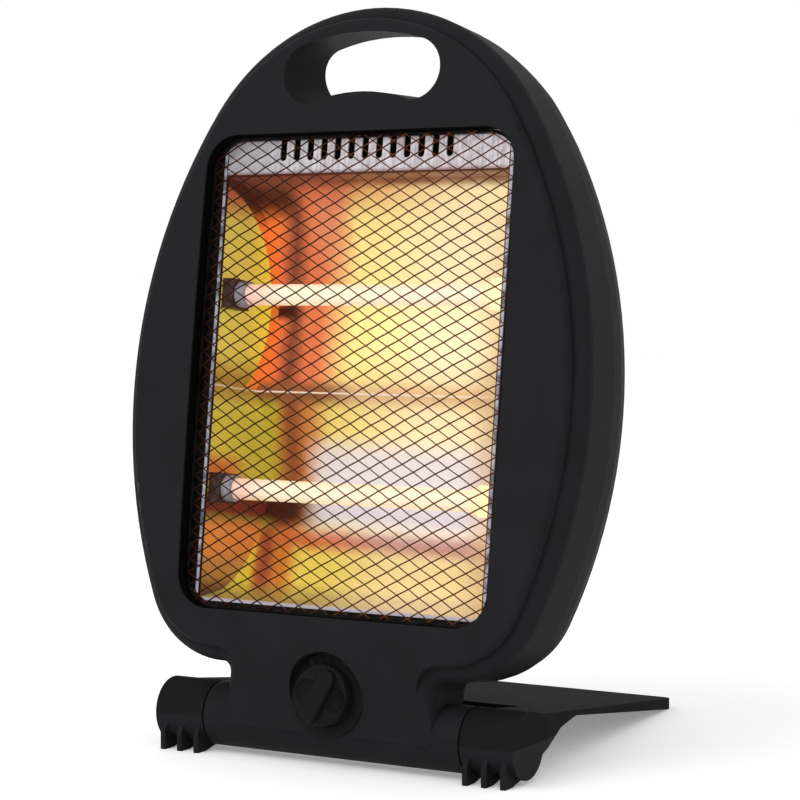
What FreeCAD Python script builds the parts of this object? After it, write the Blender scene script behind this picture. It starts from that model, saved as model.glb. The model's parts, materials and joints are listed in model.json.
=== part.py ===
import FreeCAD, Part
import math
import os

os.makedirs("parts", exist_ok=True)

# Driving sizes in millimetres. The body is drawn upright about the axis of the base tube,
# x to the right, y to the back and z up, and then leaned back on the stand.
lean = 7.43
axis_height = 17.85
tube_r = 15.8
wall = 2.5
half_width = 127.0
base_half = half_width - 28.0
tube_half = base_half - 28.5
neck_half = tube_half - 13.5
widest = 158.0
side_r = 263.0
top = 345.5
corner_flat = 1.3
bottom = 26.2
notch_r = 5.0
neck_low = -4.0
face = 24.7
face_inset = 7.0
face_edge_r = 3.0
shoulder = 19.5
seam = -3.0
dome_start = 9.5
dome_inset = 22.0
dome_steps = 6
neck_back = 13.0
back = 46.0
back_break = 235.0
top_back = 3.0
window_half = half_width - 41.5
window_low = 51.4
window_high = 283.7
window_r = 17.0
window_bow = 1.2
lip = 2.0
hole_half = 43.5
hole_end_r = 15.0
hole_mid = 312.5
hole_top = 331.5
hole_hump = 302.5
blend = 42.0
net_y = -18.9
net_t = 0.8
net_columns = 17
net_rows = 17
net_bar = 1.2
net_rim = 3.0
frame_t = 1.6
flange_y = -15.5
sheet = 0.8
pan_half = window_half - 7.0
pan_top = 264.5
pan_low = 56.0
ridge = 161.0
ridge_y = 22.0
upper_start = (-2.5, 264.0)
upper_deep = (38.5, 211.0)
lower_start = (4.0, 60.0)
lower_deep = (41.0, 113.0)
strip_top = 287.0
slot_count = 13
slot_span = 46.5
slot_r = 1.9
flange_half = window_half + 7.5
ear_x = window_half + 12.0
ear_z = (130.0, 190.0)
ear_half = 5.0
pad_r = 3.5
tube_z = (206.8, 110.4)
quartz_y = -6.0
quartz_r = 5.25
quartz_bore = 4.25
tube_end = pan_half - 2.0
cap_r = 6.5
cap_in = pan_half - 12.0
cap_out = pan_half + 13.0
disc_x = pan_half - 4.5
stud_end = pan_half + 19.0
stud_r = 2.0
clip_in = pan_half - 6.5
clip_half = 7.4
coil_r = 3.0
coil_wire = 0.45
coil_turns = 46
coil_leg = 4.0
sleeve_r = 1.2
sleeve_bend = 14.0
sleeve_x = half_width - 22.5
sleeve_drop = 16.0
sleeve_low = 84.0
sleeve_floor = 51.0
sleeve_in = 12.0
knob_z = 15.0
seat_y = -tube_r - 0.2
seat_back = seat_y + 2.8
dial_r = 20.5
dial_t = 0.8
knob_r = 14.5
knob_back = seat_y - 2.8
knob_front = knob_back - 5.2
grip_front = knob_front - 3.0
grip_half = 4.2
knob_turn = 27.0
scoop_r = 8.0
scoop_x = 7.4
scoop_out = 5.0
scoop_low = 2.5
shaft_r = 3.0
shaft_back = -2.0
shaft_front = knob_front + 2.0
switch_screw_x = 9.0
switch_half = 13.0
switch_back = 4.0
side_bay = neck_half - wall - switch_half
block_in = switch_half + side_bay / 6
block_out = block_in + side_bay / 2
block_front = -1.5
block_low = 2.0
block_high = 16.0
block_bore = 1.6
gland_x = -45.0
gland_z = 66.0
gland_r = 6.0
gland_bore = 3.6
vent_rows = ((86.0, 116.0), (188.0, 218.0))
vent_x = 56.0
vent_count = 8
vent_r = 2.0
spigot_r = 11.92
spigot_bore = 8.5
bore_r = 12.0
bore_end = base_half - 13.0
tube_cap = 4.0
gap = 0.5
sleeve_gap = 1.0
plate_rear = 215.0
plate_drop = (15.0, 3.2)
plate_edge = 5.0
plate_rear_half = base_half - 21.6
plate_corner_r = 8.0
under_plate = ((59.0, 22.2), (38.0, 20.2), (14.0, 11.35))
foot_back = 36.0
notch_depth = 45.0
rib_front = 16.7
rib_rise = 9.0
rib_toe = 9.5
rib_heel = (1.5, 2.4)
rib_sink = 2.0
rib_t = 2.6
rib_x = (base_half - 24.3, base_half - 14.5, base_half - 4.7)
foot_screw_y = 8.0
foot_screw_x = base_half - 9.6
foot_seat = 7.0
post_places = [(0, 293.5), (62, 302), (-62, 302),
               (half_width - 14, 175), (14 - half_width, 175),
               (half_width - 39.5, 42), (39.5 - half_width, 42),
               (neck_half, 0), (-neck_half, 0)]
post_r = 4.0
well = 4.0
screw_r = 1.5
head_r = 2.9
head_h = 2.2
slack = 0.05

far = 400.0
V = FreeCAD.Vector
X = V(1, 0, 0)
Y = V(0, 1, 0)
Z = V(0, 0, 1)


# Small makers of plain solids.
def box(x0, x1, y0, y1, z0, z1):
    return Part.makeBox(x1 - x0, y1 - y0, z1 - z0, V(x0, y0, z0))


def rod_x(r, x0, x1, y, z):
    return Part.makeCylinder(r, x1 - x0, V(x0, y, z), X)


def rod_y(r, x, y0, y1, z):
    return Part.makeCylinder(r, y1 - y0, V(x, y0, z), Y)


def rod_z(r, x, y, z0, z1):
    return Part.makeCylinder(r, z1 - z0, V(x, y, z0), Z)


def prism_x(points, x0, x1):
    corners = [V(x0, y, z) for y, z in points]
    return Part.Face(Part.makePolygon(corners + corners[:1])).extrude(X * (x1 - x0))


def prism_y(wire, y0, y1):
    moved = wire.copy()
    moved.translate(Y * y0)
    return Part.Face(moved).extrude(Y * (y1 - y0))


def line(a, b):
    return Part.LineSegment(a, b).toShape()


def arc(a, mid, b):
    return Part.Arc(a, mid, b).toShape()


def bow(centre, r, a, b):
    half = ((a - centre).normalize() + (b - centre).normalize()).normalize()
    return arc(a, centre + half * r, b)


def mirrored(shape):
    return shape.mirror(V(0, 0, 0), X)


def both_sides(shape):
    return Part.makeCompound([shape, mirrored(shape)])


# Outline of the body in the x-z plane: top arc, side arcs and bottom corners, all tangent.
side_c = V(half_width - side_r, 0, widest)
reach = side_r - top
top_z = (widest ** 2 + side_c.x ** 2 - reach ** 2) / (2 * (widest + reach))
top_c = V(0, 0, top_z)
notch_x = neck_half + notch_r
corner_x = notch_x + corner_flat
fall = widest - bottom
corner_r = (side_r ** 2 - (corner_x - side_c.x) ** 2 - fall ** 2) / (2 * (side_r - fall))
corner_c = V(corner_x, 0, bottom + corner_r)


def right_half(inset):
    out_top = (top_c - side_c).normalize()
    out_corner = (corner_c - side_c).normalize()
    a = V(0, 0, top - inset)
    b = side_c + out_top * (side_r - inset)
    c = side_c + out_corner * (side_r - inset)
    d = V(corner_c.x, 0, bottom + inset)
    edges = [bow(top_c, top - top_z - inset, a, b),
             bow(side_c, side_r - inset, b, c),
             bow(corner_c, corner_r - inset, c, d)]
    return edges, d


def closed(right, low_left):
    left = [mirrored(e) for e in right]
    across = line(low_left, V(-low_left.x, 0, low_left.z))
    return Part.Wire(Part.__sortEdges__(right + [across] + left))


def egg(inset):
    edges, end = right_half(inset)
    return closed(edges, end)


def egg_with_neck(inset, low):
    edges, end = right_half(inset)
    notch_c = V(notch_x, 0, bottom - notch_r)
    a = V(notch_c.x, 0, bottom + inset)
    b = V(neck_half - inset, 0, notch_c.z)
    c = V(neck_half - inset, 0, low)
    edges += [line(end, a), bow(notch_c, notch_r + inset, a, b), line(b, c)]
    return closed(edges, c)


def window_wire(grow):
    x = window_half + grow
    r = window_r + grow
    z0 = window_low - grow
    z1 = window_high + grow
    k = r * (1 - math.sqrt(0.5))
    right = [line(V(0, 0, z1), V(x - r, 0, z1)),
             arc(V(x - r, 0, z1), V(x - k, 0, z1 - k), V(x, 0, z1 - r)),
             arc(V(x, 0, z1 - r), V(x + window_bow, 0, (z0 + z1) / 2), V(x, 0, z0 + r)),
             arc(V(x, 0, z0 + r), V(x - k, 0, z0 + k), V(x - r, 0, z0))]
    return closed(right, V(x - r, 0, z0))


def handle_wire(grow):
    end_c = V(hole_half - hole_end_r, 0, hole_mid)
    r = hole_end_r + grow
    a = end_c + V(math.sin(0.2), 0, math.cos(0.2)) * r
    b = end_c + X * r
    c = end_c - Z * r
    right = [bow(end_c, r, a, b), bow(end_c, r, b, c)]
    left = [mirrored(e) for e in right]
    roof = arc(a, V(0, 0, hole_top + grow), V(-a.x, 0, a.z))
    hump = arc(c, V(0, 0, hole_hump - grow), V(-c.x, 0, c.z))
    return Part.Wire(Part.__sortEdges__(right + left + [roof, hump]))


def handle_prism(grow, y0, y1):
    rise = math.tan(math.radians(lean))
    moved = handle_wire(grow)
    moved.translate(V(0, y0, (y0 + face) * rise))
    return Part.Face(moved).extrude(V(0, y1 - y0, (y1 - y0) * rise))


# Side profile of the front: a flat face that sweeps back in two arcs to meet the base tube.
def front_block(t):
    flat = -face + t
    low = -tube_r + t
    run = blend
    step = low - flat
    r = (run ** 2 + step ** 2) / (4 * step)
    turn = math.asin(run / 2 / r)
    mid = V(0, (flat + low) / 2, run / 2)
    upper = V(0, flat + r * (1 - math.cos(turn / 2)), run - r * math.sin(turn / 2))
    lower = V(0, low - r * (1 - math.cos(turn / 2)), r * math.sin(turn / 2))
    a = V(0, flat, far)
    b = V(0, flat, run)
    c = V(0, low, 0)
    d = V(0, low, -far)
    e = V(0, far, -far)
    f = V(0, far, far)
    wire = Part.Wire([line(a, b), arc(b, upper, mid), arc(mid, lower, c), line(c, d),
                      line(d, e), line(e, f), line(f, a)])
    solid = Part.Face(wire).extrude(X * 2 * far)
    solid.translate(X * -far)
    return solid


def fillet_front(solid, y, r):
    picked = [e for e in solid.Edges
              if abs(e.BoundBox.YMin - y) < 0.01 and abs(e.BoundBox.YMax - y) < 0.01
              and e.BoundBox.ZMax > 1]
    return solid.makeFillet(r, picked)


# Front shell: a raised face on a rounded rim, with the window, the handle hole and screw posts.
def front_housing():
    low = neck_low
    inner = face_inset + wall
    panel = fillet_front(prism_y(egg_with_neck(face_inset, low), -face, -shoulder + 2), -face, face_edge_r)
    rim = fillet_front(prism_y(egg_with_neck(0, low), -shoulder, seam), -shoulder, face_inset - 0.2)
    outer = panel.fuse(rim).common(front_block(0))
    tube = rod_x(tube_r, -tube_half, tube_half, 0, 0).common(box(-far, far, -far, seam, -far, far))
    outer = outer.fuse(tube)
    deep = -shoulder + wall
    void = prism_y(egg_with_neck(inner, low), -face + wall, seam + 1)
    shelf = fillet_front(prism_y(egg_with_neck(wall, low), deep, seam + 1), deep, face_inset - wall)
    void = void.fuse(shelf).common(front_block(wall))
    void = void.fuse(rod_x(tube_r - wall, tube_cap - tube_half, tube_half - tube_cap, 0, 0))
    shell = outer.cut(void)
    extra = prism_y(window_wire(lip), -face + 1, flange_y)
    extra = extra.fuse(handle_prism(wall, -face + 1, seam))
    extra = extra.fuse(rod_y(dial_r + wall, 0, -face, seat_back, knob_z))
    for x, z in post_places:
        extra = extra.fuse(rod_y(post_r, x, -face, seam, z))
    for z in ear_z:
        for x in (ear_x, -ear_x):
            extra = extra.fuse(rod_y(pad_r, x, -face + 1, flange_y, z))
    shell = shell.fuse(extra.common(outer).common(box(-far, far, -far, seam, -far, far)))
    shell = shell.cut(prism_y(window_wire(0), -far, far))
    shell = shell.cut(handle_prism(0, -face - 5, back))
    shell = shell.cut(rod_y(dial_r, 0, -far, seat_y, knob_z))
    shell = shell.cut(rod_y(shaft_r + 0.6, 0, -far, 0, knob_z))
    for x in (switch_screw_x, -switch_screw_x):
        shell = shell.cut(rod_y(screw_r + slack, x, -far, 0, knob_z))
    for x, z in post_places:
        shell = shell.cut(rod_y(screw_r + slack, x, seam - 9, seam + 1, z))
    for z in ear_z:
        for x in (ear_x, -ear_x):
            shell = shell.cut(rod_y(screw_r + slack, x, flange_y - 5, flange_y + 1, z))
    shell = shell.cut(rod_x(bore_r, -far, far, 0, 0))
    return shell.removeSplitter()


# Rounded back: sections of the outline that close in along a quarter of an ellipse.
def dome(skin):
    depth = back - dome_start
    wires = []
    for i in range(dome_steps + 1):
        t = i * math.pi / 2 / dome_steps
        w = egg(skin + dome_inset * (1 - math.cos(t)))
        w.translate(Y * (dome_start - skin + depth * math.sin(t)))
        wires.append(w)
    bulge = Part.makeLoft(wires, True, True)
    solid = bulge.fuse(prism_y(egg(skin), seam, dome_start - skin))
    slope = math.atan2(back - top_back, top - back_break)
    cut = box(-far, far, 0, far, -far, far)
    cut.rotate(V(0, 0, 0), X, math.degrees(slope))
    cut.translate(V(0, back - skin / math.cos(slope), back_break))
    return solid.cut(cut)


def rear_housing():
    neck = prism_y(egg_with_neck(0, neck_low), seam, neck_back).common(box(-far, far, -far, far, -far, 40))
    behind = box(-far, far, seam, far, -far, far)
    tube = rod_x(tube_r, -tube_half, tube_half, 0, 0).common(behind)
    outer = dome(0).fuse(neck).fuse(tube)
    hollow = prism_y(egg_with_neck(wall, neck_low), seam - 1, neck_back - wall)
    hollow = hollow.common(box(-far, far, -far, far, -far, 40))
    void = dome(wall).fuse(prism_y(egg(wall), seam - 1, 0)).fuse(hollow)
    void = void.fuse(rod_x(tube_r - wall, tube_cap - tube_half, tube_half - tube_cap, 0, 0))
    shell = outer.cut(void)
    extra = handle_prism(wall, seam, back)
    for x, z in post_places:
        extra = extra.fuse(rod_y(post_r + 1, x, seam, far, z))
    shell = shell.fuse(extra.common(outer))
    shell = shell.cut(handle_prism(0, -face - 5, back))
    for x, z in post_places:
        shell = shell.cut(rod_y(screw_r + 0.2, x, seam - 1, well + 1, z))
        shell = shell.cut(rod_y(head_r + 0.3, x, well, far, z))
    for z0, z1 in vent_rows:
        for i in range(vent_count):
            x = -vent_x + i * 2 * vent_x / (vent_count - 1)
            slot = box(x - vent_r, x + vent_r, back - 5, back + 5, z0, z1)
            slot = slot.fuse(rod_y(vent_r, x, back - 5, back + 5, z0))
            shell = shell.cut(slot.fuse(rod_y(vent_r, x, back - 5, back + 5, z1)))
    shell = shell.cut(rod_y(gland_r + slack, gland_x, back - 5, back + 5, gland_z))
    shell = shell.cut(rod_x(bore_r, -far, far, 0, 0))
    return shell.removeSplitter()


# Wire net: one flat sheet with diamond gaps, and the strip frame that it sits on.
def diamond(x, z, a, b):
    corners = [V(x - a, 0, z), V(x, 0, z - b), V(x + a, 0, z), V(x, 0, z + b)]
    return Part.makePolygon(corners + corners[:1])


def grille():
    half = window_half - gap - net_rim
    low = window_low + gap + net_rim
    wide = 2 * half / net_columns
    tall = (window_high - gap - net_rim - low) / net_rows
    inside = Part.Face(window_wire(-gap - net_rim))
    wires = [window_wire(-gap)]
    for row in range(net_rows):
        for col in range(net_columns):
            x = (col + 0.5) * wide - half
            hole = diamond(x, low + (row + 0.5) * tall, (wide - net_bar) / 2, (tall - net_bar) / 2)
            if all(inside.isInside(v.Point, 0.01, True) for v in hole.Vertexes):
                wires.append(hole)
    net = Part.makeFace(wires, "Part::FaceMakerBullseye")
    net.translate(Y * net_y)
    print("net gaps", len(wires) - 1)
    return net.extrude(Y * net_t)


def grille_frame():
    y0 = net_y + net_t
    ring = prism_y(window_wire(-gap), y0, flange_y)
    return ring.cut(prism_y(window_wire(-gap - frame_t), y0 - 1, flange_y + 1))


# Reflector: two polished troughs that meet in a ridge, closed by an end plate at each side.
def trough_wire(start, deep, lip_z, grow):
    a = V(0, *start)
    m = V(0, *deep)
    b = V(0, ridge_y, ridge)
    curve = Part.Arc(a, m, b).toShape().Curve
    centre = curve.Center
    r = curve.Radius + grow
    out = [centre + (p - centre).normalize() * r for p in (a, m, b)]
    side = 1 if lip_z > ridge else -1
    front = V(0, flange_y, lip_z + side * grow)
    return front, out


def trough(start, deep, lip_z):
    f0, (a0, m0, b0) = trough_wire(start, deep, lip_z, 0)
    f1, (a1, m1, b1) = trough_wire(start, deep, lip_z, sheet)
    wire = Part.Wire([line(f0, a0), arc(a0, m0, b0), line(b0, b1), arc(b1, m1, a1),
                      line(a1, f1), line(f1, f0)])
    solid = Part.Face(wire).extrude(X * 2 * pan_half)
    solid.translate(X * -pan_half)
    return solid


def reflector_upper():
    return trough(upper_start, upper_deep, pan_top).common(box(-far, far, -far, far, ridge, far))


def reflector_lower():
    body = trough(lower_start, lower_deep, pan_low).common(box(-far, far, -far, far, -far, ridge))
    edge = box(-pan_half, pan_half, flange_y, flange_y + sheet, window_low - 3, pan_low)
    return body.fuse(edge).removeSplitter()


def vent_strip():
    strip = box(-pan_half, pan_half, flange_y, flange_y + sheet, pan_top + sheet, strip_top)
    z0 = pan_top + 9
    z1 = strip_top - 3
    for i in range(slot_count):
        x = -slot_span + i * 2 * slot_span / (slot_count - 1)
        slot = box(x - slot_r, x + slot_r, flange_y - 1, flange_y + 2, z0, z1)
        slot = slot.fuse(rod_y(slot_r, x, flange_y - 1, flange_y + 2, z0))
        strip = strip.cut(slot.fuse(rod_y(slot_r, x, flange_y - 1, flange_y + 2, z1)))
    return strip


def end_sheet(start, deep, lip_z):
    f, (a, m, b) = trough_wire(start, deep, lip_z, sheet)
    root = V(0, flange_y, b.z)
    wire = Part.Wire([line(root, f), line(f, a), arc(a, m, b), line(b, root)])
    plate = Part.Face(wire).extrude(X * sheet)
    plate.translate(X * pan_half)
    return plate


def reflector_end():
    above = box(-far, far, -far, far, ridge, far)
    plate = end_sheet(upper_start, upper_deep, pan_top).common(above)
    plate = plate.fuse(end_sheet(lower_start, lower_deep, pan_low).cut(above))
    edge = box(pan_half, flange_half, flange_y, flange_y + sheet, window_low - 3, strip_top)
    room = prism_y(egg_with_neck(face_inset + wall + slack, neck_low), flange_y - 1, flange_y + 2)
    plate = plate.fuse(edge.common(room))
    for z in ear_z:
        ear = box(pan_half, ear_x + ear_half, flange_y, flange_y + sheet, z - ear_half, z + ear_half)
        ear = ear.cut(rod_y(screw_r + slack, ear_x, flange_y - 1, flange_y + 2, z))
        plate = plate.fuse(ear)
    for z in tube_z:
        plate = plate.cut(rod_x(cap_r + slack, pan_half - 1, pan_half + 2, quartz_y, z))
    return plate.removeSplitter()


# Quartz tubes with their coils, ceramic ends, terminal studs and holding clips.
def quartz_tube(z):
    whole = rod_x(quartz_r, -tube_end, tube_end, quartz_y, z)
    return whole.cut(rod_x(quartz_bore, -tube_end, tube_end, quartz_y, z))


def cap(z):
    piece = rod_x(cap_r, cap_in, cap_out, quartz_y, z)
    piece = piece.cut(rod_x(quartz_r + slack, cap_in, tube_end + slack, quartz_y, z))
    return piece.cut(rod_x(stud_r + slack, cap_in, cap_out, quartz_y, z))


def stud(z):
    piece = rod_x(stud_r, disc_x, stud_end, quartz_y, z)
    piece = piece.fuse(rod_x(quartz_bore - 0.2, disc_x, disc_x + 1.5, quartz_y, z))
    return piece.fuse(rod_x(2 * stud_r, cap_out, cap_out + 3, quartz_y, z)).removeSplitter()


def clip(z):
    block = box(clip_in, pan_half, quartz_y - clip_half, quartz_y + clip_half, z - clip_half, z + clip_half)
    return block.cut(rod_x(cap_r + slack, clip_in, pan_half, quartz_y, z))


def biarc(p0, t0, p1, t1):
    v = p1 - p0
    t = t0 + t1
    k = 2 * (1 - t0.dot(t1))
    d = (math.sqrt(v.dot(t) ** 2 + k * v.dot(v)) - v.dot(t)) / k
    mid = (p0 + t0 * d + p1 - t1 * d) * 0.5
    return [tangent_arc(p0, t0, mid), tangent_arc(p1, t1 * -1, mid)]


def tangent_arc(p, t, q):
    c = q - p
    n = c - t * c.dot(t)
    r = c.dot(c) / (2 * n.Length)
    centre = p + n.normalize() * r
    return bow(centre, r, p, q)


def least_gap(points, skip):
    """Least distance between two points of a path that are at least skip points apart."""
    reach = range(skip, 5 * skip)
    return min(p.distanceToPoint(points[i + k]) for i, p in enumerate(points) for k in reach
               if i + k < len(points))


def coil(z):
    x0 = -disc_x + coil_leg
    pitch = -2 * x0 / coil_turns
    steps = 4 * coil_turns
    rise = pitch / (2 * math.pi)

    def at(i):
        a = i * math.pi / 2
        return V(x0 + i * pitch / 4, quartz_y + coil_r * math.cos(a), z + coil_r * math.sin(a))

    def along(i):
        a = i * math.pi / 2
        return V(rise, -coil_r * math.sin(a), coil_r * math.cos(a)).normalize()

    edges = []
    for i in range(steps):
        edges += biarc(at(i), along(i), at(i + 1), along(i + 1))
    path = Part.Wire(Part.__sortEdges__(edges))
    print("coil gap to itself", least_gap([at(i / 4) for i in range(4 * steps + 1)], 8) - 2 * coil_wire)
    round_face = Part.Wire(Part.makeCircle(coil_wire, at(0), along(0)))
    turns = Part.BRepOffsetAPI.MakePipeShell(path)
    turns.add(round_face)
    turns.build()
    turns.makeSolid()
    body = turns.shape()
    for end, sign in ((at(0), -1), (at(steps), 1)):
        reach_x = abs(disc_x - abs(end.x))
        foot = Part.makeCylinder(coil_wire, reach_x, end, X * sign)
        body = body.fuse(foot).fuse(Part.makeSphere(coil_wire, end))
    return body


# Wires inside the body: straight runs joined by arcs.
def wire_run(points, r):
    pts = [V(*p) for p in points]
    edges = []
    start = pts[0]
    for before, here, after in zip(pts, pts[1:], pts[2:]):
        u = (here - before).normalize()
        v = (after - here).normalize()
        half = math.acos(max(-1.0, min(1.0, u.dot(v)))) / 2
        run = min((here - before).Length, (after - here).Length)
        back_off = min(0.45 * run, sleeve_bend * math.tan(half))
        a = here - u * back_off
        b = here + v * back_off
        bisector = (v - u).normalize()
        radius = back_off / math.tan(half)
        mid = here + bisector * (radius / math.cos(half) - radius)
        edges += [line(start, a), arc(a, mid, b)]
        start = b
    edges.append(line(start, pts[-1]))
    path = Part.Wire(edges)
    ring = Part.Wire(Part.makeCircle(r, pts[0], pts[1] - pts[0]))
    return path.makePipeShell([ring], True, False)


def live_wire(z, y, floor_z, end_x):
    """From a left stud down the side wall and along the floor to the back of the switch."""
    switch_top = knob_z + switch_half
    points = [(-stud_end, quartz_y, z), (-sleeve_x, quartz_y, z), (-sleeve_x, y, z - sleeve_drop),
              (-sleeve_x, y, sleeve_low), (sleeve_in - sleeve_x, y, sleeve_floor), (end_x - 9, y, floor_z),
              (end_x, shaft_back, switch_top + 11), (end_x, shaft_back, switch_top)]
    return wire_run(points, sleeve_r)


def neutral_wire():
    """From the upper right stud down the side wall and across to the terminal block."""
    z = tube_z[0]
    y = switch_back
    end_x = -(block_in + block_out) / 2
    points = [(stud_end, quartz_y, z), (sleeve_x, quartz_y, z), (sleeve_x, y, z - sleeve_drop),
              (sleeve_x, y, sleeve_low), (sleeve_x - sleeve_in, y, sleeve_floor),
              (end_x + 10, y + 4, block_high + 20), (end_x, y, block_high + 15), (end_x, y, block_high)]
    return wire_run(points, sleeve_r)


# Switch, knob, dial and the small electrical blocks.
def selector_switch():
    z0 = knob_z - switch_half
    z1 = knob_z + switch_half
    body = box(-switch_half, switch_half, seat_back, switch_back, z0, z1)
    body = body.cut(rod_y(shaft_r + slack, 0, seat_y, shaft_back + gap, knob_z))
    for x in (switch_screw_x, -switch_screw_x):
        body = body.cut(rod_y(screw_r + slack, x, seat_y, seat_back + 7, knob_z))
    return body


def control_knob():
    disc = rod_y(knob_r, 0, knob_front, knob_back, knob_z)
    disc = fillet_front(disc, knob_front, 1.2)
    for side in (-1, 1):
        scoop = V(side * scoop_x, knob_front - scoop_out, knob_z + side * scoop_low)
        disc = disc.cut(Part.makeSphere(scoop_r, scoop))
    length = knob_r - 1.2
    grip = box(-grip_half, grip_half, grip_front, knob_front + 1, knob_z - length, knob_z + length)
    ends = [e for e in grip.Edges if e.BoundBox.YLength > 1]
    grip = grip.makeFillet(grip_half - 0.3, ends)
    grip = fillet_front(grip, grip_front, 1.2)
    whole = disc.fuse(grip)
    whole.rotate(V(0, 0, knob_z), Y, knob_turn)
    return whole.cut(rod_y(shaft_r + slack, 0, shaft_front, knob_back, knob_z)).removeSplitter()


def dial_ring():
    ring = rod_y(dial_r - 0.3, 0, seat_y - dial_t, seat_y, knob_z)
    return ring.cut(rod_y(knob_r + 0.6, 0, seat_y - 1, seat_y + 1, knob_z))


def tilt_switch():
    return box(block_in, block_out, block_front, neck_back - wall, block_low, block_high)


def terminal_block():
    block = box(-block_out, -block_in, block_front, neck_back - wall, block_low, block_high)
    step = (block_out - block_in) / 4
    for x in (block_in + step, block_out - step):
        block = block.cut(rod_y(block_bore, -x, block_front - 1, block_front + 6, (block_low + block_high) / 2))
    return block


def cord_gland():
    bush = rod_y(gland_r + 2.5, gland_x, back, back + 3.5, gland_z)
    bush = bush.fuse(rod_y(gland_r, gland_x, back - wall - 4, back + 1, gland_z))
    bush = bush.fuse(rod_y(gland_r + 2, gland_x, back - wall - 4, back - wall, gland_z))
    return bush.cut(rod_y(gland_bore, gland_x, back - 20, back + 20, gland_z)).removeSplitter()


# Hinge spigots clamped in the ends of the body's tube.
def hinge_spigot():
    x0 = tube_half - 8.5
    piece = rod_x(spigot_r, x0, bore_end - gap, 0, 0)
    piece = piece.fuse(rod_x(tube_r - wall - 0.1, x0, tube_half - tube_cap, 0, 0))
    return piece.cut(rod_x(spigot_bore, x0 - 1, bore_end, 0, 0)).removeSplitter()


# Screws: a round head and a shank along the given direction.
def screw_y(x, y, z, length, way):
    head = rod_y(head_r, x, min(y, y - way * head_h), max(y, y - way * head_h), z)
    shank = rod_y(screw_r, x, min(y, y + way * length), max(y, y + way * length), z)
    return head.fuse(shank).removeSplitter()


def screw_up(x, y, z, length):
    return rod_z(head_r, x, y, z - head_h, z).fuse(rod_z(screw_r, x, y, z, z + length)).removeSplitter()


# Stand: a plate that runs back from two split sleeves, and a ribbed foot below each sleeve.
def stand_whole():
    a = axis_height
    crown = a + tube_r
    profile = [(0, crown), (plate_drop[0], crown - plate_drop[1]), (plate_rear, plate_edge), (plate_rear, 0),
               (plate_rear - 8, 0), *under_plate, (0, a)]
    slab = prism_x(profile, -base_half, base_half)
    plan = [V(-base_half, -far, 0), V(base_half, -far, 0), V(base_half, 20, 0),
            V(plate_rear_half, plate_rear, 0), V(-plate_rear_half, plate_rear, 0), V(-base_half, 20, 0)]
    slab = slab.common(Part.Face(Part.makePolygon(plan + plan[:1])).extrude(Z * far))
    inside = tube_half + sleeve_gap
    slab = slab.cut(box(-inside, inside, -far, notch_depth, -far, far))
    corners = [e for e in slab.Edges if e.BoundBox.ZLength > 1 and e.BoundBox.XLength < 0.01
               and e.BoundBox.YLength < 0.01 and e.BoundBox.YMin > plate_rear - 1]
    slab = slab.makeFillet(plate_corner_r, corners)
    for side in (-1, 1):
        x0 = inside if side > 0 else -base_half
        slab = slab.fuse(rod_x(tube_r, x0, x0 + base_half - inside, 0, a))
        for x in rib_x:
            mid = side * x
            rib = [(-rib_front, 0), (-rib_front, rib_rise), (2.8 - tube_r, a - rib_sink), (0, a - rib_sink),
                   rib_heel, (-rib_toe, 0)]
            slab = slab.fuse(prism_x(rib, mid - rib_t / 2, mid + rib_t / 2))
    slab = slab.cut(rod_x(bore_r, -bore_end, bore_end, 0, a))
    for x in (-foot_screw_x, foot_screw_x):
        for y in (-foot_screw_y, foot_screw_y):
            slab = slab.cut(rod_z(screw_r + slack, x, y, 0, a + 9))
            slab = slab.cut(rod_z(head_r + 0.3, x, y, -1, a - foot_seat))
    return slab


def lower_half(x0, x1):
    return box(x0, x1, -far, foot_back, -far, axis_height)


whole_stand = stand_whole()
stand_plate = whole_stand.cut(lower_half(-far, far)).removeSplitter()
foot_left = whole_stand.common(lower_half(-far, 0)).removeSplitter()
foot_right = whole_stand.common(lower_half(0, far)).removeSplitter()
foot_screws = Part.makeCompound([
    screw_up(x, y, axis_height - foot_seat, foot_seat + 8)
    for x in (-foot_screw_x, foot_screw_x) for y in (-foot_screw_y, foot_screw_y)])

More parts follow.
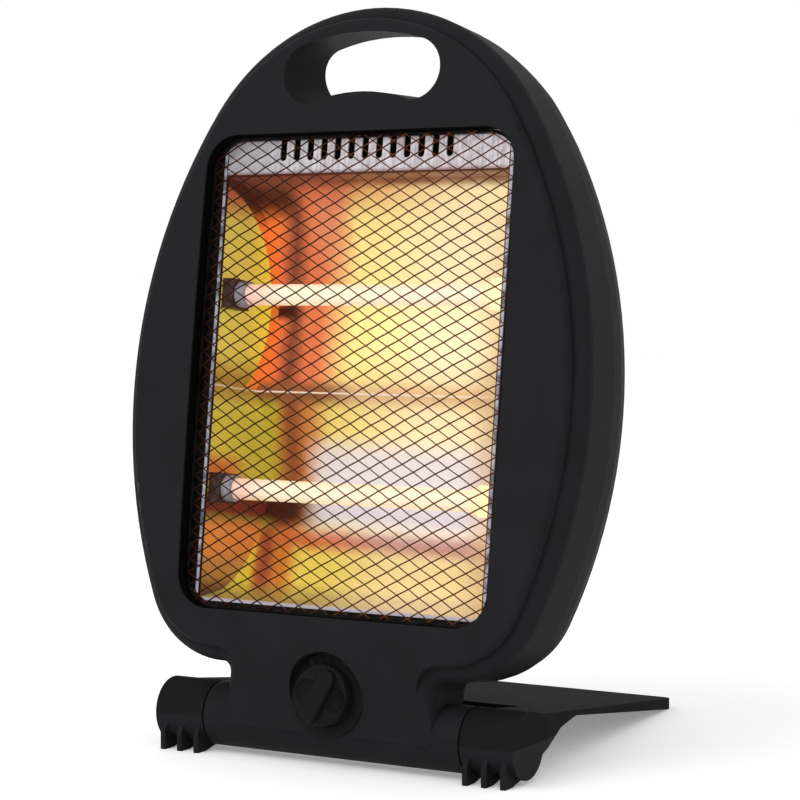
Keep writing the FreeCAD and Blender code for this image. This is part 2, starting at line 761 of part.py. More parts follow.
body_parts = {
    "front_housing": front_housing(),
    "rear_housing": rear_housing(),
    "grille": grille(),
    "grille_frame": grille_frame(),
    "reflector_upper": reflector_upper(),
    "reflector_lower": reflector_lower(),
    "reflector_end_right": reflector_end(),
    "reflector_end_left": mirrored(reflector_end()),
    "vent_strip": vent_strip(),
    "quartz_tube_upper": quartz_tube(tube_z[0]),
    "quartz_tube_lower": quartz_tube(tube_z[1]),
    "heating_coil_upper": coil(tube_z[0]),
    "heating_coil_lower": coil(tube_z[1]),
    "ceramic_caps_upper": both_sides(cap(tube_z[0])),
    "ceramic_caps_lower": both_sides(cap(tube_z[1])),
    "terminal_studs": Part.makeCompound([both_sides(stud(z)) for z in tube_z]),
    "tube_clips": Part.makeCompound([both_sides(clip(z)) for z in tube_z]),
    "live_wire_upper": live_wire(tube_z[0], 9, sleeve_floor - 4, -7),
    "live_wire_lower": live_wire(tube_z[1], 3, sleeve_floor - 3, 7),
    "neutral_wire": neutral_wire(),
    "selector_switch": selector_switch(),
    "dial_ring": dial_ring(),
    "tilt_switch": tilt_switch(),
    "terminal_block": terminal_block(),
    "cord_gland": cord_gland(),
    "hinge_spigot_right": hinge_spigot(),
    "hinge_spigot_left": mirrored(hinge_spigot()),
    "housing_screws": Part.makeCompound([screw_y(x, well, z, well - seam + 8, -1) for x, z in post_places]),
    "reflector_screws": Part.makeCompound([screw_y(x, flange_y + sheet, z, sheet + 4, -1)
                                           for x in (ear_x, -ear_x) for z in ear_z]),
    "switch_screws": Part.makeCompound([screw_y(x, seat_y, knob_z, seat_back - seat_y + 6, 1)
                                        for x in (switch_screw_x, -switch_screw_x)]),
    "control_knob": control_knob(),
    "switch_shaft": rod_y(shaft_r, 0, shaft_front, shaft_back, knob_z),
}

# Lean the body back, set it on the stand and centre the whole over the middle of its box.
nodes = {}
for name, shape in body_parts.items():
    shape.rotate(V(0, 0, 0), X, -lean)
    shape.translate(Z * axis_height)
    nodes[name] = shape
nodes["stand_plate"] = stand_plate
nodes["foot_left"] = foot_left
nodes["foot_right"] = foot_right
nodes["foot_screws"] = foot_screws
whole = Part.makeCompound(list(nodes.values())).optimalBoundingBox(False, False)
for name, shape in nodes.items():
    shape.translate(Y * -whole.Center.y)
    sound = shape.isValid() and all(s.isValid() for s in shape.Solids)
    print(name, len(shape.Solids), round(shape.Volume), sound)
    shape.exportStep("parts/" + name + ".step")
print("shift", -whole.Center.y, "box", whole.XLength, whole.YLength, whole.ZLength)
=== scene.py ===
import json
import math
import bpy
import numpy as np
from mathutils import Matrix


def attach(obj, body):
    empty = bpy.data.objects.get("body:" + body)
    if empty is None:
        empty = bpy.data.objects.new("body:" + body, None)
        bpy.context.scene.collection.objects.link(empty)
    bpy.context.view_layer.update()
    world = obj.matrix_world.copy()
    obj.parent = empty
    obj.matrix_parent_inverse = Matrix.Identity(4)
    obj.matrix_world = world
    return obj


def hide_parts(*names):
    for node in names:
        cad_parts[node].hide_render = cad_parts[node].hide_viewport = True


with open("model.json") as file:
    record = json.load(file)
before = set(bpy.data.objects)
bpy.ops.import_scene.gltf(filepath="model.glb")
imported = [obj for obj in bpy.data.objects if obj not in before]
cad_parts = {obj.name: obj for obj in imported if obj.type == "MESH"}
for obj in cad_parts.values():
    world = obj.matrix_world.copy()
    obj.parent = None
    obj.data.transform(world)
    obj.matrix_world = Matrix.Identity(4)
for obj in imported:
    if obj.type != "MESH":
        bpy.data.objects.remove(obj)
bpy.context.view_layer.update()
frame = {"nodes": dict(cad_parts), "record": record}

# Studio: a white floor and white surroundings with one soft lamp, for the heater as it stands in use.
# The camera is to the right of the body, a little above its middle, and looks slightly down.
mm = 0.001
joints = {joint["name"]: joint for joint in frame["record"]["behaviour"]["joints"]}
hinge = np.array(joints["heater_tilt"]["pos_m"])
camera_from_hinge = np.array((581.97, -953.76, 213.55))
camera_azimuth, camera_pitch = 30.01, -2.94
camera_lens, film_width, camera_near = 105.88, 36.0, 0.05
floor_half = 4.0
floor_pale, floor_paler, floor_lift = (0.96, 0.96, 0.96), (0.98, 0.98, 0.98), 0.25
black, white = (0.0, 0.0, 0.0), (1.0, 1.0, 1.0)
surround_light, surround_seen = 0.78, 1.0
body_middle = np.array((0.0, 0.0, 0.18))


def look(azimuth, pitch):
    """Turn of a camera or lamp that looks along +Y at azimuth 0 and level at pitch 0, in degrees."""
    return (math.radians(90 + pitch), 0, math.radians(azimuth))


scene = bpy.context.scene
scene.view_settings.view_transform = "Standard"
camera = bpy.data.cameras.new("camera")
camera.lens = camera_lens
camera.sensor_width = film_width
camera.clip_start = camera_near
camera_object = bpy.data.objects.new("camera", camera)
camera_object.location = hinge + mm * camera_from_hinge
camera_object.rotation_euler = look(camera_azimuth, camera_pitch)
scene.collection.objects.link(camera_object)
scene.camera = camera_object


class Socket:
    """A node's output that adds nodes to its tree when it is used in a sum or a mix."""

    def __init__(self, tree, output):
        self.tree = tree
        self.output = output

    def node(self, kind, settings=None, out=0, **inputs):
        """A new node: its settings first, then its sockets by name or, as i0 and i1, by their place."""
        made = self.tree.nodes.new(kind)
        for key, value in (settings or {}).items():
            setattr(made, key, value)
        for key, value in inputs.items():
            by_place = key[0] == "i" and key[1:].isdigit()
            socket = made.inputs[int(key[1:]) if by_place else key.replace("_", " ")]
            if isinstance(value, Socket):
                self.tree.links.new(value.output, socket)
            else:
                socket.default_value = value
        return Socket(self.tree, made.outputs[out])

    def math(self, operation, *values):
        """A Math node on this value or on the values given."""
        named = {"i%d" % place: value for place, value in enumerate(values or (self,))}
        return self.node("ShaderNodeMath", {"operation": operation}, **named)

    def __add__(self, other):
        return self.math("ADD", self, other)

    def __radd__(self, other):
        return self.math("ADD", other, self)

    def __sub__(self, other):
        return self.math("SUBTRACT", self, other)

    def __rsub__(self, other):
        return self.math("SUBTRACT", other, self)

    def __mul__(self, other):
        return self.math("MULTIPLY", self, other)

    def __rmul__(self, other):
        return self.math("MULTIPLY", other, self)

    def __truediv__(self, other):
        return self.math("DIVIDE", self, other)

    def __rtruediv__(self, other):
        return self.math("DIVIDE", other, self)

    def __abs__(self):
        return self.math("ABSOLUTE")

    def or_more(self, other):
        """The larger of this value and another."""
        return self.math("MAXIMUM", self, other)

    def dot(self, vector):
        """How far this place or direction reaches along a fixed vector."""
        return self.node("ShaderNodeVectorMath", {"operation": "DOT_PRODUCT"}, out=1,
                         i0=self, i1=tuple(vector))

    def rise(self, start, end):
        """0 up to start and 1 past end, smooth between them; the larger of the two may be first."""
        low, high = sorted((start, end))
        slope = self.node("ShaderNodeMapRange", {"interpolation_type": "SMOOTHSTEP"},
                          Value=self, From_Min=low, From_Max=high)
        return 1 - slope if start > end else slope

    def band(self, low, high, soft):
        """1 between low and high, fading over soft to either side of each."""
        return self.rise(low - soft, low + soft) * self.rise(high + soft, high - soft)

    def mix(self, under, over):
        """Colour under where this value is 0 and colour over where it is 1."""
        return self.node("ShaderNodeMix", {"data_type": "RGBA"}, out=2,
                         i0=self, i6=shade(under), i7=shade(over))


def shade(colour):
    """A colour socket as it is, or a plain colour with the opaque fourth value that a socket takes."""
    return colour if isinstance(colour, Socket) else (*colour, 1)


def material(name, roughness=0.5, metallic=0.0, specular=0.5):
    """A new Principled material: itself, its shader and the place on the piece in metres."""
    made = bpy.data.materials.new(name)
    made.use_nodes = True
    tree = made.node_tree
    shader = tree.nodes["Principled BSDF"]
    shader.inputs["Roughness"].default_value = roughness
    shader.inputs["Metallic"].default_value = metallic
    shader.inputs["Specular IOR Level"].default_value = specular
    return made, shader, Socket(tree, None).node("ShaderNodeTexCoord", out="Object")


def feed(shader, name, value):
    """Links a socket to one of the shader's inputs, or sets a constant there."""
    if isinstance(value, Socket):
        value.tree.links.new(value.output, shader.inputs[name])
    else:
        shader.inputs[name].default_value = shade(value) if isinstance(value, tuple) else value


def grain(at, scale, detail=3.0):
    """Noise between 0 and 1 with spots about 1 / scale metres across."""
    return at.node("ShaderNodeTexNoise", Vector=at, Scale=scale, Detail=detail)


def speckled(at, scale, dark, light, low=0.2, high=0.8):
    """Colour that wanders between two shades, as grain goes from low to high."""
    return grain(at, scale).rise(low, high).mix(dark, light)


def looked_at(tree):
    """1 for a ray from the camera, a reflection or glass, and 0 for one that only carries light."""
    kinds = ("Is Camera Ray", "Is Glossy Ray", "Is Transmission Ray")
    eye, gloss, glass = (Socket(tree, None).node("ShaderNodeLightPath", out=kind) for kind in kinds)
    return eye.or_more(gloss.or_more(glass))


def lamp(name, azimuth, elevation, distance, size, watts):
    """A square area lamp on a sphere round the body, turned to its middle."""
    data = bpy.data.lights.new(name, "AREA")
    data.size = size
    data.energy = watts
    made = bpy.data.objects.new(name, data)
    a, e = math.radians(azimuth), math.radians(elevation)
    away = np.array((math.sin(a) * math.cos(e), -math.cos(a) * math.cos(e), math.sin(e)))
    made.location = body_middle + distance * away
    made.rotation_euler = look(azimuth, -elevation)
    scene.collection.objects.link(made)


floor_mesh = bpy.data.meshes.new("floor")
floor_corners = [(floor_half * x, floor_half * y, 0) for x, y in ((-1, -1), (1, -1), (1, 1), (-1, 1))]
floor_mesh.from_pydata(floor_corners, [], [(0, 1, 2, 3)])
floor = bpy.data.objects.new("floor", floor_mesh)
scene.collection.objects.link(floor)
floor_finish, shader, at = material("floor_white", roughness=0.9, specular=0.0)
feed(shader, "Base Color", speckled(at, 3.0, floor_pale, floor_paler))
feed(shader, "Emission Color", looked_at(at.tree).mix(black, white))
feed(shader, "Emission Strength", floor_lift)
floor_mesh.materials.append(floor_finish)

world = bpy.data.worlds.new("studio")
scene.world = world
world.use_nodes = True
background = world.node_tree.nodes["Background"]
feed(background, "Color", white)
feed(background, "Strength", surround_light + (surround_seen - surround_light) * looked_at(world.node_tree))
lamp("key", azimuth=-20, elevation=40, distance=2.2, size=1.4, watts=16)

# Stand plate: one black ABS moulding with two sleeves, in which the ends of the body's tube turn.
# Its mould is spark-eroded, so the surface is matt with a fine grain.
stand_dark, stand_light = (0.0116, 0.0115, 0.0124), (0.0140, 0.0138, 0.0150)


def bump(at, height, depth):
    """Normals tilted by the slope of a height, which goes from 0 to 1 for a depth in metres."""
    return at.node("ShaderNodeBump", Height=height, Distance=depth, Strength=1.0)


def paint(finish, *names):
    """Gives CAD nodes a material in place of their own."""
    for name in names:
        mesh = frame["nodes"][name].data
        mesh.materials.clear()
        mesh.materials.append(finish)


stand_finish, shader, at = material("black_stand", specular=0.015)
feed(shader, "Base Color", speckled(at, 45.0, stand_dark, stand_light, 0.25, 0.75))
feed(shader, "Roughness", 0.68 + 0.14 * grain(at, 220.0))
feed(shader, "Normal", bump(at, grain(at, 1900.0, 2.0), 0.08 * mm))
paint(stand_finish, "stand_plate")

# Body shells and feet: black ABS mouldings with a finer grain than the stand, satin but not shiny.
# The two shells are screwed together from behind, and the feet are screwed up into the stand.
# The wall of the window's recess is coloured blacker, as it lies in shade.
right = np.array((1.0, 0.0, 0.0))
front = np.array(joints["knob_turn"]["axis"])
up = np.cross(front, right)
shell_dark, shell_light = (0.0142, 0.0140, 0.0154), (0.0168, 0.0166, 0.0188)
recess_black = (0.002, 0.002, 0.002)
recess_half, recess_low, recess_high, recess_corner = 88.0, 49.6, 285.5, 369.5
recess_back, recess_front, recess_rough = 10.0, 23.8, 0.9


def body_axes(at):
    """Place on the leaning body: x across to the right, v up and w forward, in mm from the hinge."""
    x = at.dot(right) / mm
    v = (at.dot(up) - float(hinge @ up)) / mm
    w = (at.dot(front) - float(hinge @ front)) / mm
    return x, v, w


shell_finish, shader, at = material("black_shell", specular=0.03)
x, v, w = body_axes(at)
recess = abs(x).rise(recess_half, recess_half - 0.5) * (abs(x) + v).rise(recess_corner, recess_corner - 1)
recess = recess * v.band(recess_low, recess_high, 0.2) * w.band(recess_back, recess_front, 0.4)
feed(shader, "Base Color", recess.mix(speckled(at, 45.0, shell_dark, shell_light, 0.25, 0.75), recess_black))
feed(shader, "Roughness", (recess_rough * recess).or_more(0.48 + 0.14 * grain(at, 220.0)))
feed(shader, "Normal", bump(at, grain(at, 2600.0, 2.0), 0.06 * mm))
paint(shell_finish, "front_housing", "rear_housing", "foot_left", "foot_right")

# Inner electrics: glass-sleeved wires, black switches and gland, a white terminal block, nylon spigots.
# They sit inside the shells, with the gland at the back and the spigots in the ends of the base tube.
sleeve_dark, sleeve_light = (0.50, 0.48, 0.43), (0.66, 0.63, 0.57)
nylon_dark, nylon_light = (0.70, 0.69, 0.64), (0.80, 0.79, 0.74)
switch_dark, switch_light = (0.020, 0.020, 0.021), (0.032, 0.032, 0.034)
sleeve_finish, shader, at = material("glass_sleeve", roughness=0.8, specular=0.3)
feed(shader, "Base Color", speckled(at, 800.0, sleeve_dark, sleeve_light))
paint(sleeve_finish, "live_wire_upper", "live_wire_lower", "neutral_wire")

block_finish, shader, at = material("white_block")
feed(shader, "Base Color", speckled(at, 120.0, nylon_dark, nylon_light))
paint(block_finish, "terminal_block", "hinge_spigot_left", "hinge_spigot_right")

switch_finish, shader, at = material("black_switch", roughness=0.4)
feed(shader, "Base Color", speckled(at, 120.0, switch_dark, switch_light))
paint(switch_finish, "selector_switch", "tilt_switch", "cord_gland")

# Screws: zinc-plated steel, cold-headed and rolled.
# They hold the shells, the reflector's ears, the switch and the feet.
zinc_dark, zinc_light = (0.38, 0.38, 0.36), (0.52, 0.52, 0.50)
screw_finish, shader, at = material("zinc_screw", roughness=0.35, metallic=1.0)
feed(shader, "Base Color", speckled(at, 600.0, zinc_dark, zinc_light))
paint(screw_finish, "housing_screws", "reflector_screws", "switch_screws", "foot_screws")

# Reflector troughs: bright-rolled aluminium sheet, bent into two hollows that meet at a ridge.
# Their colours and glow are painted light from the lit tubes, from cream on the right to orange bands at the
# left end, with bands of painted reflection and painted shade.
# Masks are in mm on the body, and u runs across and a little to the back, as the bands do.
cream, pale_cream = (0.77, 0.64, 0.25), (0.74, 0.65, 0.43)
straw, pale_straw = (0.70, 0.57, 0.16), (0.84, 0.70, 0.45)
mustard, pale_mustard = (0.62, 0.50, 0.09), (0.70, 0.56, 0.28)
bark, pale_bark = (0.24, 0.18, 0.05), (0.52, 0.42, 0.26)
glow_red, pale_glow_red = (0.48, 0.13, 0.04), (0.40, 0.21, 0.18)
violet, pale_violet = (0.47, 0.43, 0.47), (0.62, 0.58, 0.61)
ridge_brown, ridge_tan, ridge_highlight = (0.22, 0.085, 0.04), (0.60, 0.42, 0.24), (0.72, 0.62, 0.56)
amber, orange, salmon = (0.70, 0.19, 0.035), (0.62, 0.165, 0.075), (0.60, 0.22, 0.13)
copper, ember, russet = (0.50, 0.19, 0.05), (0.50, 0.17, 0.03), (0.40, 0.11, 0.06)
chestnut, mahogany, brown = (0.24, 0.070, 0.030), (0.26, 0.065, 0.030), (0.19, 0.055, 0.034)
top_edge_shade, top_shade, shade_brown = (0.14, 0.045, 0.028), (0.065, 0.017, 0.010), (0.050, 0.011, 0.007)
moss, lime, right_end_shade = (0.40, 0.33, 0.035), (0.56, 0.48, 0.05), (0.48, 0.34, 0.20)
silver, shadow, dull_back = (0.34, 0.32, 0.36), (0.004, 0.003, 0.003), (0.20, 0.20, 0.21)
sheet_glow, sheet_metal, sheet_shine = 0.58, 0.3, 0.1
ridge_height = 161.0


def layered(colour, *layers):
    """Lays the colour of each layer over those before it, where the layer's mask is 1."""
    for mask, over in layers:
        colour = mask.mix(colour, over)
    return colour


def upper_glow(u, v, w):
    """Upper trough, painted glow: cream, then orange, brown and amber to the left, a painted shadow under the
    tube and painted shade under its top edge.
    """
    return layered(u.rise(-16, 50).mix(cream, pale_cream),
                   (u.rise(-10, -36), orange),
                   (u.band(-38, -20, 9) * v.rise(214, 250), salmon),
                   (u.band(-55, -45, 6), brown),
                   (u.rise(-55, -64), amber),
                   (v.band(200, 206, 2) * u.rise(-40, -52), shade_brown),
                   (v.rise(247, 266) * u.rise(70, -40), russet),
                   (v.rise(244, 257) * u.rise(-42, -56), top_shade),
                   (v.rise(258, 265) * w.rise(-10, 0), top_edge_shade))


def lower_glow(u, v):
    """Lower trough, painted glow: straw over the tube, violet round it, a red band and mustard under it, and
    a painted shadow under the tube.
    """
    over_tube = layered(u.rise(-26, 40).mix(straw, pale_straw),
                        (u.rise(-36, -50), moss),
                        (u.band(-52, -28, 8), copper),
                        (u.band(-52, -40, 6), chestnut))
    under_tube = layered(u.rise(-30, 30).mix(mustard, pale_mustard),
                         (u.rise(-32, -44), ember),
                         (u.rise(-58, -63), lime),
                         (u.band(-59, -51, 4), mahogany),
                         (v.rise(68, 56), u.rise(-40, 40).mix(bark, pale_bark)))
    return layered(over_tube,
                   (v.rise(97, 89), under_tube),
                   (v.band(83, 93, 4) * u.rise(-58, -42), u.rise(-30, 20).mix(glow_red, pale_glow_red)),
                   (v.band(94, 136, 8) * u.rise(-42, -24), v.rise(100, 116).mix(violet, pale_violet)),
                   (v.band(95, 109, 5) * u.rise(-22, -44), shade_brown))


def facing(at):
    """Direction that the surface points in."""
    return at.node("ShaderNodeTexCoord", out="Normal")


def light_up(shader, colour, back, inside, strength):
    """Colour and glow on the faces where inside is 1, and a plain unlit colour on the others."""
    feed(shader, "Base Color", inside.mix(back, colour))
    feed(shader, "Emission Color", inside.mix(black, colour))
    feed(shader, "Emission Strength", strength)


trough_finish, shader, at = material("lit_reflector", metallic=sheet_metal, specular=sheet_shine)
x, v, w = body_axes(at)
u = x - 0.5 * w + 9 * (grain(at, 35.0) - 0.5)
v_soft = v + 5 * (grain(at, 60.0) - 0.5)
# Front edge: painted shadow below the bottom flange's silver strip, which glows with the rest, and painted
# shade along the upper edge.
rim = layered(v.rise(54.7, 55.1).mix(shadow, silver),
              (v.rise(150, 160), shade_brown))
below_ridge = v.rise(ridge_height + 1, ridge_height - 1)
glow = layered(below_ridge.mix(upper_glow(u, v_soft, w), lower_glow(u, v_soft)),
               # Along the ridge: a darker band, and a painted highlight on the seam between the troughs.
               (v.band(ridge_height - 5, ridge_height + 5, 4), u.rise(-30, 0).mix(ridge_brown, ridge_tan)),
               (v.band(ridge_height - 0.4, ridge_height + 0.4, 0.3), ridge_highlight),
               # Painted shade towards the right end.
               (u.rise(50, 78) * v.rise(270, 190), right_end_shade),
               (w.rise(12.5, 13.5), rim))
# Faces not turned to the back take the colours and the painted glow; those turned to the back keep the plain
# unlit colour.
light_up(shader, glow, dull_back, facing(at).dot(front).rise(-0.12, -0.06), sheet_glow)
feed(shader, "Roughness", 0.3 + 0.15 * grain(at, 90.0))
paint(trough_finish, "reflector_upper", "reflector_lower")

# Reflector end plates: the same sheet, cut to the troughs' outline, with a flange folded out in front.
# The flange is screwed to the front shell by two ears, and the plates close the troughs' ends.
# Their colours and glow are painted light from the tubes, with painted shade at the top and the bottom, a
# painted shadow under the lower tube and a painted highlight at the ridge.
olive, gold = (0.49, 0.435, 0.08), (0.72, 0.58, 0.05)
pale_moss, toffee, low_shade = (0.42, 0.36, 0.045), (0.27, 0.16, 0.03), (0.09, 0.040, 0.022)
tube_shadow, brick, tawny = (0.13, 0.026, 0.014), (0.42, 0.12, 0.025), (0.52, 0.19, 0.045)
leather, cinnamon, end_ridge_highlight = (0.34, 0.17, 0.05), (0.34, 0.10, 0.045), (0.50, 0.40, 0.30)
flange_net_shade = (0.10, 0.09, 0.11)
upper_fold = ((2.5, 264.0), (-38.5, 211.0), (-22.0, 161.0))
fold_band, fold_soft = 6.5, 1.5


def circle(points):
    """Centre and radius of the circle through three points, from the equal squares of their distances."""
    a, b, c = np.asarray(points, float)
    centre = np.linalg.solve(2 * np.array((b - a, c - a)), (b @ b - a @ a, c @ c - a @ a))
    return centre.tolist(), float(np.hypot(*(a - centre)))


end_finish, shader, at = material("lit_end_plate", metallic=sheet_metal, specular=sheet_shine)
x, v, w = body_axes(at)
v = v + 3 * (grain(at, 50.0) - 0.5)
(fold_w, fold_v), fold_radius = circle(upper_fold)
off_w, off_v = w - fold_w, v - fold_v
from_fold = fold_radius - (off_w * off_w + off_v * off_v).math("SQRT")
by_fold = from_fold.rise(fold_band + fold_soft, fold_band) * v.rise(160, 164)
# Painted shadows of the net: a noise mottle between dark and silver on a band of the flange, whose rest is
# painted shadow.
net_shade_mottle = grain(at, 160.0).rise(0.35, 0.6).mix(flange_net_shade, silver)
end_plate_glow = layered(w.rise(-6, -34).mix(olive, gold),
              (v.band(154, 172, 9), toffee),
              (v.rise(156, 146), pale_moss),
              (v.band(112, 126, 5) * w.rise(-24, 0), brick),
              (v.rise(98, 92), tawny),
              (v.rise(82, 70), leather),
              (v.rise(70, 58), low_shade),
              (v.band(95, 109, 5), tube_shadow),
              (v.rise(240, 257) * w.rise(-16, 0), cinnamon),
              (v.band(ridge_height - 0.4, ridge_height + 0.4, 0.4), end_ridge_highlight),
              (by_fold, v.rise(242, 254).mix(amber, top_shade)),
              (w.rise(14.0, 14.5), abs(x).band(79.0, 80.6, 0.3).mix(shadow, net_shade_mottle)))
# Faces turned inward, and faces turned to the front, take the colours and the painted glow; the others keep
# the plain unlit colour.
forward = facing(at).dot(front)
inward = (x * facing(at).dot(right)).rise(1, -1) * forward.rise(-0.5, -0.4)
light_up(shader, end_plate_glow, dull_back, inward.or_more(forward.rise(0.4, 0.5)), sheet_glow)
feed(shader, "Roughness", 0.3 + 0.15 * grain(at, 120.0))
paint(end_finish, "reflector_end_left", "reflector_end_right")

# Vent strip: the same bright sheet with a row of punched slots, above the reach of the orange glow.
# It stands flat over the upper trough's front edge and shows the roller marks of the sheet, and it has a
# paler painted glow of its own.
strip_dark, strip_light = (0.34, 0.31, 0.33), (0.52, 0.48, 0.51)
strip_left, strip_foot_shade, strip_glow = (0.30, 0.28, 0.30), (0.20, 0.12, 0.11), 0.35
roller_marks = (900.0, 60.0, 60.0)


def lit(shader, colour, strength):
    """The same colour for the surface and for the light that comes from it."""
    feed(shader, "Base Color", colour)
    feed(shader, "Emission Color", colour)
    feed(shader, "Emission Strength", strength)


strip_finish, shader, at = material("bright_strip", metallic=0.5)
x, v, w = body_axes(at)
stretched = at.node("ShaderNodeVectorMath", {"operation": "MULTIPLY"}, i0=at, i1=roller_marks)
streak = grain(stretched, 1.0)
# Roller streaks, darker towards the left, with painted shade along the foot; this colour is also the strip's
# painted glow.
streaks_and_painted_glow = layered(streak.rise(0.3, 0.7).mix(strip_dark, strip_light),
                (x.rise(-30, -78), strip_left),
                (v.rise(267.5, 265), strip_foot_shade))
lit(shader, streaks_and_painted_glow, strip_glow)
feed(shader, "Roughness", 0.3 + 0.2 * streak)
paint(strip_finish, "vent_strip")

# Quartz tubes: milky fused quartz, drawn and cut, with a wound resistance coil inside each.
# They are lit from inside, and are cooler and pinker where the left caps hold them.
quartz_hot, quartz_cool, quartz_glow = (0.84, 0.72, 0.52), (0.74, 0.47, 0.36), 0.52
coil_red, coil_yellow, coil_glow = (0.9, 0.35, 0.08), (1.0, 0.55, 0.2), 1.0
tube_finish, shader, at = material("lit_quartz")
x, v, w = body_axes(at)
lit(shader, x.rise(-40, -66).mix(quartz_hot, quartz_cool), quartz_glow)
feed(shader, "Roughness", 0.2 + 0.1 * grain(at, 400.0))
paint(tube_finish, "quartz_tube_upper", "quartz_tube_lower")

coil_finish, shader, at = material("hot_coil", metallic=0.6)
lit(shader, speckled(at, 500.0, coil_red, coil_yellow), coil_glow)
paint(coil_finish, "heating_coil_upper", "heating_coil_lower")

# Tube ends: pressed and fired ceramic caps without glaze, and turned brass studs through them.
# The caps are pushed over the quartz, and the right-hand ones are painted cream with a painted glow for the
# reflector's light.
fired_dark, fired_light = (0.26, 0.24, 0.29), (0.42, 0.39, 0.44)
lit_cap_cream, lit_cap_glow, end_glow = (0.85, 0.68, 0.42), (0.90, 0.70, 0.42), 0.6
brass_dark, brass_light = (0.55, 0.38, 0.12), (0.70, 0.52, 0.20)


def right_hand(at):
    """0 on the left half of the body and 1 on the right half."""
    return at.dot(right).rise(-20 * mm, 20 * mm)


ceramic_finish, shader, at = material("unglazed_ceramic", roughness=0.8, specular=0.3)
feed(shader, "Base Color", right_hand(at).mix(speckled(at, 400.0, fired_dark, fired_light), lit_cap_cream))
feed(shader, "Emission Color", right_hand(at).mix(black, lit_cap_glow))
feed(shader, "Emission Strength", end_glow)
feed(shader, "Normal", bump(at, grain(at, 3000.0), 0.05 * mm))
paint(ceramic_finish, "ceramic_caps_upper", "ceramic_caps_lower")

brass_finish, shader, at = material("turned_brass", metallic=1.0)
feed(shader, "Base Color", speckled(at, 200.0, brass_dark, brass_light))
feed(shader, "Roughness", 0.25 + 0.2 * grain(at, 700.0))
paint(brass_finish, "terminal_studs", "switch_shaft")

# Tube clips: square steel holders with a bore, dark, with a faint painted glow.
# Each is fixed to an end plate round a cap, and the right-hand ones are painted cream with a stronger painted
# glow for the reflector's light.
clip_dark, clip_light, lit_clip_cream = (0.012, 0.007, 0.007), (0.07, 0.035, 0.03), (0.85, 0.66, 0.36)
left_clip_glow, right_clip_glow = (0.02, 0.006, 0.003), (0.92, 0.74, 0.42)
clip_finish, shader, at = material("clip_steel", metallic=0.5)
left_clip_colour = speckled(at, 260.0, clip_dark, clip_light, 0.35, 0.7)
feed(shader, "Base Color", right_hand(at).mix(left_clip_colour, lit_clip_cream))
feed(shader, "Emission Color", right_hand(at).mix(left_clip_glow, right_clip_glow))
feed(shader, "Emission Strength", end_glow)
feed(shader, "Roughness", 0.35 + 0.2 * grain(at, 700.0))
paint(clip_finish, "tube_clips")

# Wire grille: black painted wires in two slanting families that weave over each other.
# The net is pressed into a shallow pillow, and its cut ends sit on the frame inside the window.
net_half, net_low, net_high, net_corner = 84.4, 52.5, 282.6, 16.0
net_plane, net_rise, net_lean = 18.7, 4.2, -0.032
cell_wide, cell_tall, steps_per_cell, fewest_points = 11.9, 6.8, 8, 4
rising_radius, falling_radius, wire_sides, weave = 0.36, 0.29, 6, 0.3
wire_dark, wire_light = (0.008, 0.003, 0.002), (0.024, 0.008, 0.004)
left_wire_glow, right_wire_glow = (0.014, 0.003, 0.001), (0.070, 0.022, 0.007)
net_mid = (net_low + net_high) / 2
net_reach = (net_high - net_low) / 2


def place(x, v, w):
    """Points in metres from x across, v up and w forward in mm, along the leaning body's own axes."""
    x, v, w = (np.asarray(a, float)[..., None] for a in (x, v, w))
    return hinge + mm * (x * right + v * up + w * front)


def window_distance(x, v):
    """Distance outside a rectangle with round corners, negative inside it.

    It is how far a point lies past the centre of its corner, less the corner's radius.
    """
    past_x = np.abs(x) - (net_half - net_corner)
    past_v = np.abs(v - net_mid) - (net_reach - net_corner)
    outside = np.hypot(np.maximum(past_x, 0), np.maximum(past_v, 0))
    return outside + np.minimum(np.maximum(past_x, past_v), 0) - net_corner


def pillow(x, v):
    """Height of the pressed net over its rim: a parabola up the body, times 1 less the sixth power across."""
    return net_rise * (1 - ((v - net_mid) / net_reach) ** 2) * (1 - (x / net_half) ** 6)


def tube_mesh(path, radius, sides):
    """A ring of points round each point of a path, joined by quads and closed at both ends.

    A ring is radius times the cosine of its angle outwards plus the sine across. Outwards is the front
    direction without its part along the path, and across is at right angles to both.
    """
    along = np.gradient(path, axis=0)
    along /= np.linalg.norm(along, axis=1)[:, None]
    out = front - (along @ front)[:, None] * along
    out /= np.maximum(np.linalg.norm(out, axis=1), 1e-9)[:, None]
    across = np.cross(along, out)
    a = np.arange(sides) * 2 * math.pi / sides
    ring = np.cos(a)[None, :, None] * out[:, None] + np.sin(a)[None, :, None] * across[:, None]
    points = path[:, None] + radius * ring
    last = len(path) - 1
    i, j = np.meshgrid(np.arange(last), np.arange(sides), indexing="ij")
    k = (j + 1) % sides
    skin = np.stack((i * sides + j, i * sides + k, (i + 1) * sides + k, (i + 1) * sides + j), -1)
    c = np.arange(1, sides - 2, 2)
    cap = np.stack((0 * c, c, c + 1, c + 2), -1)
    return points.reshape(-1, 3), np.concatenate((skin.reshape(-1, 4), cap[:, ::-1], cap + last * sides))


def joined(parts):
    """Several meshes as one: their points in a row, and each one's faces counted on from its first point."""
    points, faces = zip(*parts)
    starts = np.cumsum([0, *map(len, points[:-1])])
    return np.concatenate(points), np.concatenate([f + start for f, start in zip(faces, starts)])


def piece(name, parts, finish, body):
    """One smooth object from several meshes, which rides on a body and takes its finish from a slot."""
    points, faces = joined(parts)
    mesh = bpy.data.meshes.new(name)
    mesh.from_pydata(points.tolist(), [], faces.tolist())
    mesh.polygons.foreach_set("use_smooth", np.ones(len(faces), bool))
    mesh.materials.append(finish)
    mesh.validate()
    made = bpy.data.objects.new(name, mesh)
    scene.collection.objects.link(made)
    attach(made, body)
    return made


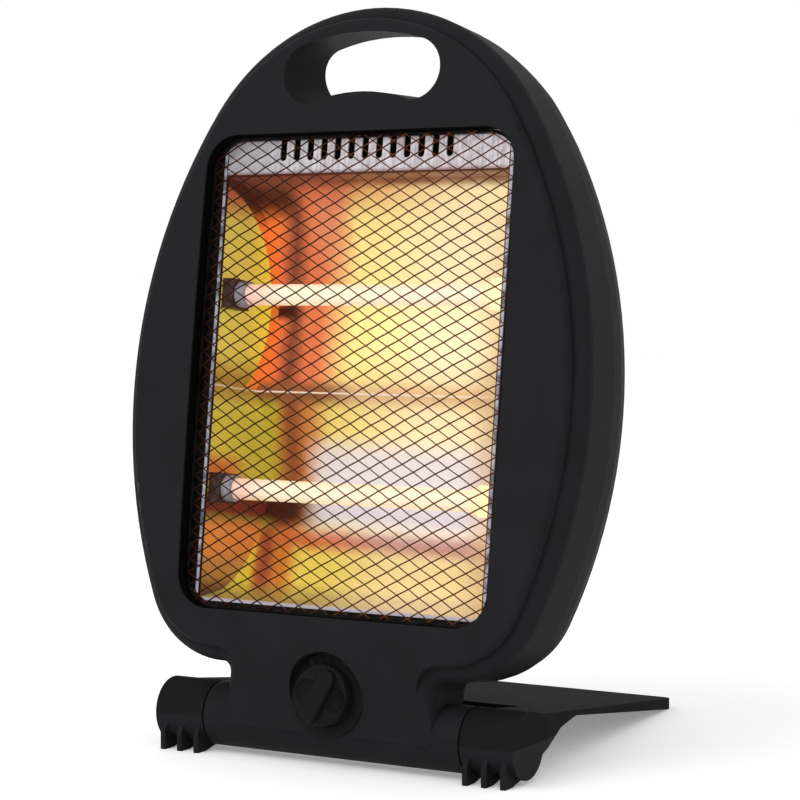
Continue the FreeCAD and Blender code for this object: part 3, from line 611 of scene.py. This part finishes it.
def wires(sign, radius):
    """One family: parallel lines that rise cell_tall in cell_wide, with a cosine wave over and under."""
    slope = sign * cell_tall / cell_wide + net_lean
    x = np.linspace(-net_half, net_half, int(2 * net_half / cell_wide * steps_per_cell))
    wave = sign * weave * np.cos(2 * math.pi * x / cell_wide)
    span = int((net_reach + net_half * abs(slope)) / cell_tall) + 1
    for k in range(-span, span + 1):
        v = net_mid + slope * x + k * cell_tall
        kept = np.flatnonzero(window_distance(x, v) < 0)
        if len(kept) >= fewest_points:
            path = place(x, v, net_plane + np.maximum(pillow(x, v), 0) + wave * (-1) ** k)
            yield tube_mesh(path[kept], radius * mm, wire_sides)


wire_finish, shader, at = material("black_wire", specular=0.06)
x, v, w = body_axes(at)
feed(shader, "Base Color", speckled(at, 300.0, wire_dark, wire_light, 0.35, 0.75))
# Painted glow on the wires, faint on the left and warmer and brighter on the right.
feed(shader, "Emission Color", x.rise(-50, 20).mix(left_wire_glow, right_wire_glow))
feed(shader, "Emission Strength", 1.0)
feed(shader, "Roughness", 0.4 + 0.2 * grain(at, 900.0))
net_wires = [*wires(1, rising_radius), *wires(-1, falling_radius)]
net = piece("wire_grille", net_wires, wire_finish, "heater")
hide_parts("grille")

# Grille frame: a ring of steel strip, coloured near black as painted shade in the recess.
# It lies inside the window and holds the net's edge.
strip_black, strip_brown = (0.005, 0.004, 0.005), (0.022, 0.016, 0.018)
frame_finish, shader, at = material("shade_dark_steel", metallic=0.6, specular=0.1)
feed(shader, "Base Color", speckled(at, 150.0, strip_black, strip_brown, 0.3, 0.8))
feed(shader, "Roughness", 0.4 + 0.25 * grain(at, 500.0))
paint(frame_finish, "grille_frame")

# Knob and dial ring: matt black plastic, moulded.
# The knob is pushed on the switch's shaft, and the ring is pressed into the seat behind it.
knob_dark, knob_light = (0.0075, 0.0075, 0.008), (0.0105, 0.0105, 0.011)
knob_finish, shader, at = material("matt_knob", specular=0.05)
feed(shader, "Base Color", speckled(at, 90.0, knob_dark, knob_light))
feed(shader, "Roughness", 0.45 + 0.15 * grain(at, 500.0))
feed(shader, "Normal", bump(at, grain(at, 3000.0, 2.0), 0.04 * mm))
paint(knob_finish, "control_knob", "dial_ring")

# Dial marks: three plain settings, off, one bar and two bars, printed on the ring in grey.
# Each stroke is a thin raised line of ink.
mark_radius, mark_face, mark_height = 17.7, 16.9, 15.0
off_turn, one_turn, two_turn = -33.0, -3.0, 27.0
off_half, bar_half, bar_apart, stroke_radius, loop_points = 0.8, 1.1, 0.7, 0.22, 25
ink_dark, ink_light = (0.03, 0.03, 0.03), (0.05, 0.05, 0.05)


def on_dial(turn, across, out):
    """Points of the ring's face: across and outwards in mm, turned from its top by degrees."""
    a = math.radians(turn)
    across, out = np.asarray(across, float), np.asarray(out, float) + mark_radius
    x = across * math.cos(a) + out * math.sin(a)
    v = mark_height - across * math.sin(a) + out * math.cos(a)
    return place(x, v, np.full_like(x, mark_face))


loop = np.linspace(0, 2 * math.pi, loop_points)
bar = (-bar_half, bar_half)
strokes = [on_dial(off_turn, off_half * np.cos(loop), bar_half * np.sin(loop)),
           on_dial(one_turn, (0, 0), bar),
           on_dial(two_turn, (-bar_apart, -bar_apart), bar),
           on_dial(two_turn, (bar_apart, bar_apart), bar)]
mark_finish, shader, at = material("grey_print", roughness=0.6, specular=0.3)
feed(shader, "Base Color", speckled(at, 900.0, ink_dark, ink_light))
mark_lines = [tube_mesh(path, stroke_radius * mm, wire_sides) for path in strokes]
piece("dial_marks", mark_lines, mark_finish, "heater")
